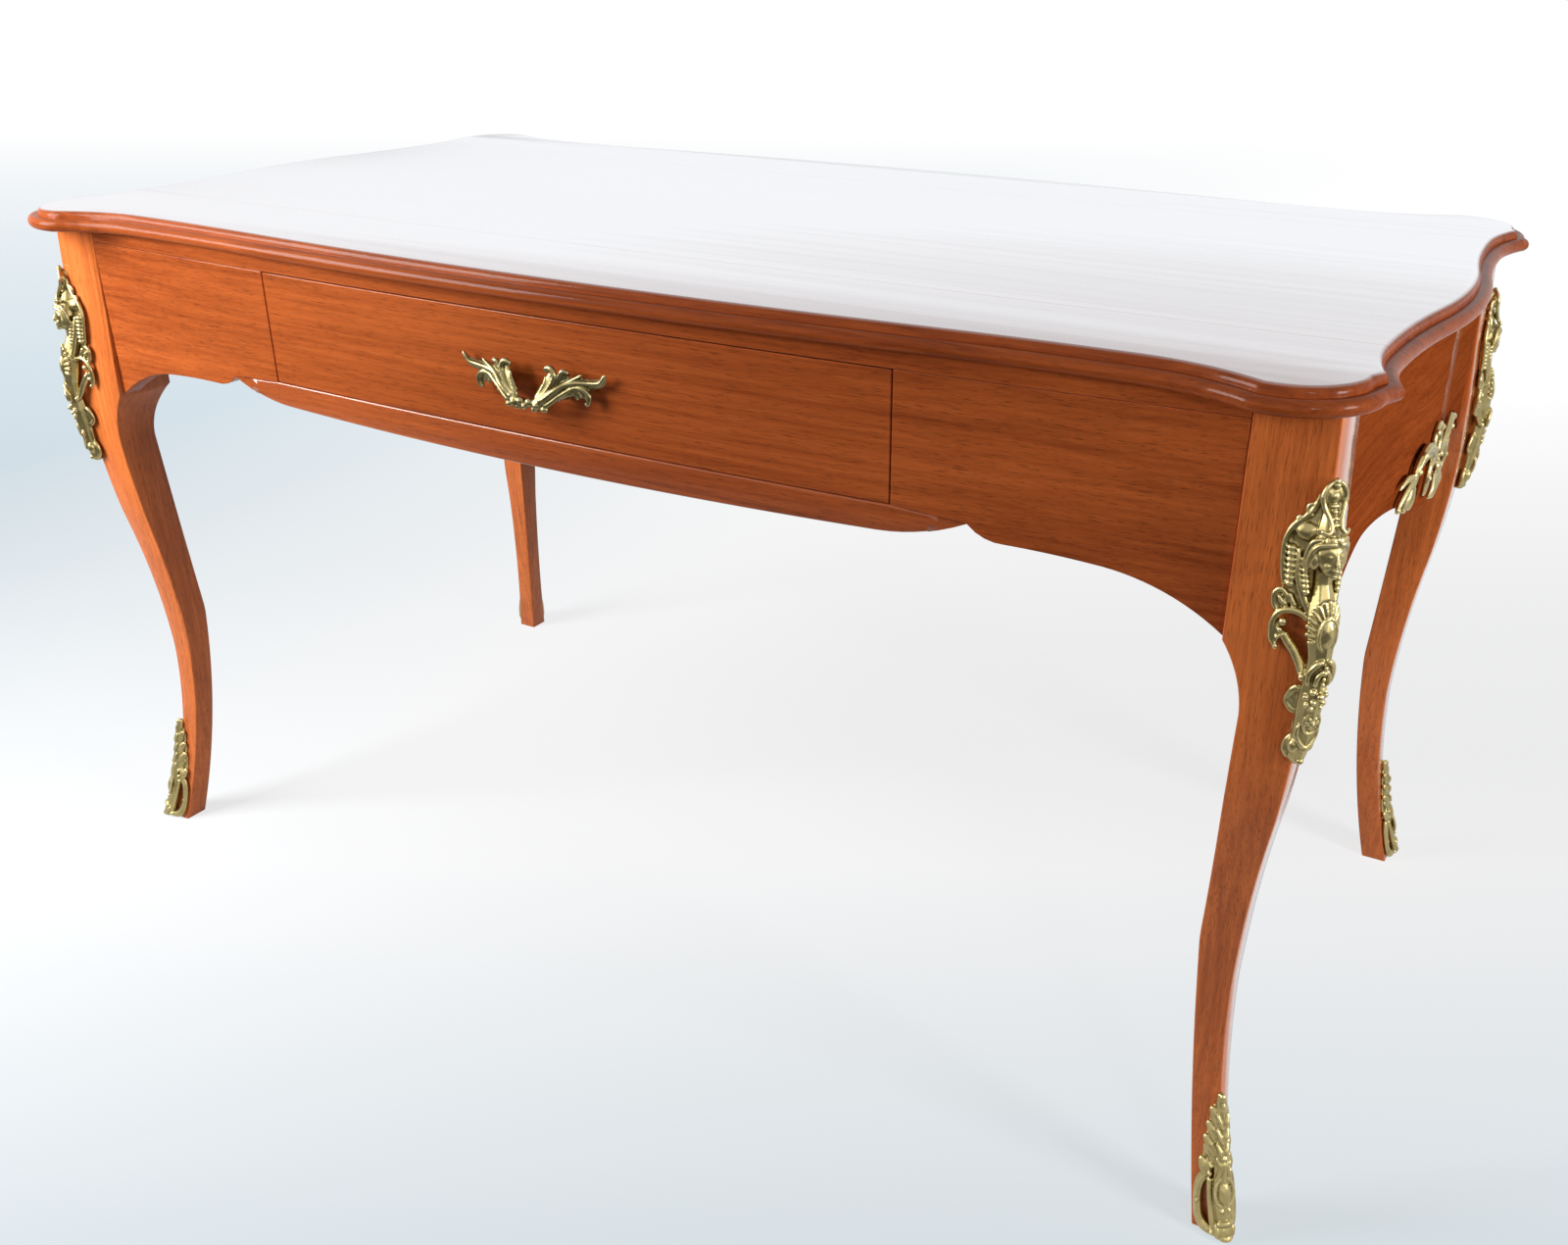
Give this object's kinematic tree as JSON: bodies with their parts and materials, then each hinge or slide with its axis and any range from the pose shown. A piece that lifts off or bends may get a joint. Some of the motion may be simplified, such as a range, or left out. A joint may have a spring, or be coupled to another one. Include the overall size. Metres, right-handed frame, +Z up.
{
  "type": "writing table",
  "caption": "Long mahogany writing table with a serpentine moulded top, cabriole legs, a bowed frieze with a central drawer, and cast brass knee, foot and end mounts",
  "frame": {"origin": "on the floor, under the middle of the table's outline", "axes": "X along the table's length with the drawer front seen from -Y, Y from front to back, Z up"},
  "size_m": [1.456, 0.7919, 0.775],
  "materials": {
    "mahogany": "french polished, glossy",
    "secondary_wood": "plain planed",
    "brass": "aged, dark in the recesses",
    "steel": "plain"
  },
  "bodies": {
    "table": {"top_board_front": "mahogany", "top_board_middle": "mahogany", "top_board_back": "mahogany", "leg_front_left": "mahogany", "leg_front_right": "mahogany", "leg_back_left": "mahogany", "leg_back_right": "mahogany", "front_top_rail": "mahogany", "front_bottom_rail": "mahogany", "front_panel_left": "mahogany", "front_panel_right": "mahogany", "back_apron": "mahogany", "left_apron": "mahogany", "right_apron": "mahogany", "drawer_runner_left": "secondary_wood", "drawer_runner_right": "secondary_wood", "drawer_guide_left": "secondary_wood", "drawer_guide_right": "secondary_wood", "drawer_kicker_left": "secondary_wood", "drawer_kicker_right": "secondary_wood", "drawer_stop_left": "secondary_wood", "drawer_stop_right": "secondary_wood", "corner_blocks": "secondary_wood", "knee_mount_front_left": "brass", "knee_mount_front_right": "brass", "knee_mount_back_left": "brass", "knee_mount_back_right": "brass", "sabot_front_left": "brass", "sabot_front_right": "brass", "sabot_back_left": "brass", "sabot_back_right": "brass", "end_mount_left": "brass", "end_mount_right": "brass", "mount_nails": "brass", "top_screws": "steel"},
    "drawer": {"drawer_front": "mahogany", "drawer_side_left": "secondary_wood", "drawer_side_right": "secondary_wood", "drawer_back": "secondary_wood", "drawer_bottom": "secondary_wood", "drawer_pull": "brass", "pull_bolts": "steel"}
  },
  "joints": [
    {"name": "drawer_slide", "type": "slide", "parent": "table", "child": "drawer", "axis": [0, -1, 0], "range_m": [0, 0.38]}
  ]
}
